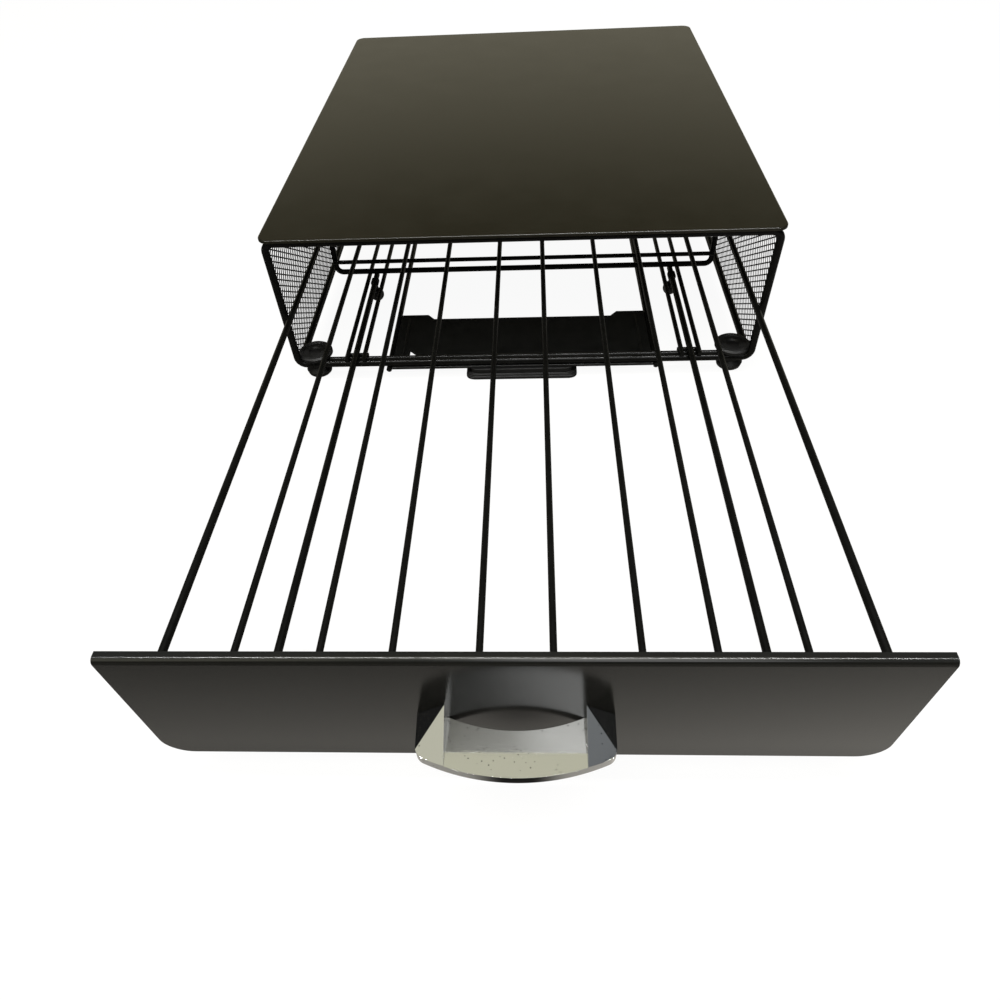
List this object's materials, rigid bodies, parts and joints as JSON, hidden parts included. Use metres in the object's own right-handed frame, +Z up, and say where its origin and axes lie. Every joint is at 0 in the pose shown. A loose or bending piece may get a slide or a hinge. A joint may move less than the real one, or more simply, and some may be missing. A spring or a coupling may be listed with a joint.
{
  "type": "coffee pod drawer",
  "caption": "Low wire housing that carries a coffee machine on its top sheet, with a pull-out wire drawer for coffee pods and a bright pull handle.",
  "frame": {"origin": "on the table, under the middle of the whole object with the drawer open", "axes": "+Z up, -Y towards the side where the drawer opens, X across the drawer"},
  "size_m": [0.33, 0.7219, 0.11],
  "materials": {
    "top_paint": "satin olive-black powder coat",
    "front_paint": "satin warm grey-black powder coat",
    "frame_wire": "satin black powder coat",
    "mesh": "satin black powder coat",
    "rubber": "matt",
    "black_plastic": "matt",
    "chrome": "polished",
    "screw_steel": "plain"
  },
  "bodies": {
    "housing": {"top_panel": "top_paint", "front_frame": "frame_wire", "rear_frame": "frame_wire", "front_cross_wire": "frame_wire", "rear_cross_wire": "frame_wire", "lower_rail_left": "frame_wire", "lower_rail_right": "frame_wire", "upper_rail_left": "frame_wire", "upper_rail_right": "frame_wire", "side_mesh_left": "mesh", "side_mesh_right": "mesh", "guide_outer_left": "frame_wire", "guide_outer_right": "frame_wire", "guide_inner_left": "frame_wire", "guide_inner_right": "frame_wire", "guide_stop_left": "frame_wire", "guide_stop_right": "frame_wire", "bottom_wire_left": "frame_wire", "bottom_wire_right": "frame_wire", "foot_carrier": "black_plastic", "middle_foot": "rubber", "foot_front_left": "rubber", "foot_front_right": "rubber", "foot_rear_left": "rubber", "foot_rear_right": "rubber"},
    "drawer": {"drawer_front": "front_paint", "front_hoop": "frame_wire", "rear_hoop": "frame_wire", "floor_cross_front": "frame_wire", "floor_cross_rear": "frame_wire", "back_brace": "frame_wire", "floor_wire_1": "frame_wire", "floor_wire_2": "frame_wire", "floor_wire_3": "frame_wire", "floor_wire_4": "frame_wire", "floor_wire_5": "frame_wire", "floor_wire_6": "frame_wire", "floor_wire_7": "frame_wire", "floor_wire_8": "frame_wire", "floor_wire_9": "frame_wire", "floor_wire_10": "frame_wire", "runner_left": "frame_wire", "runner_right": "frame_wire", "glide_left": "black_plastic", "glide_right": "black_plastic", "handle": "chrome", "handle_screws": "screw_steel"}
  },
  "joints": [
    {"name": "drawer_slide", "type": "slide", "parent": "housing", "child": "drawer", "axis": [0, 1, 0], "range_m": [-0.0885, 0.2848]}
  ]
}
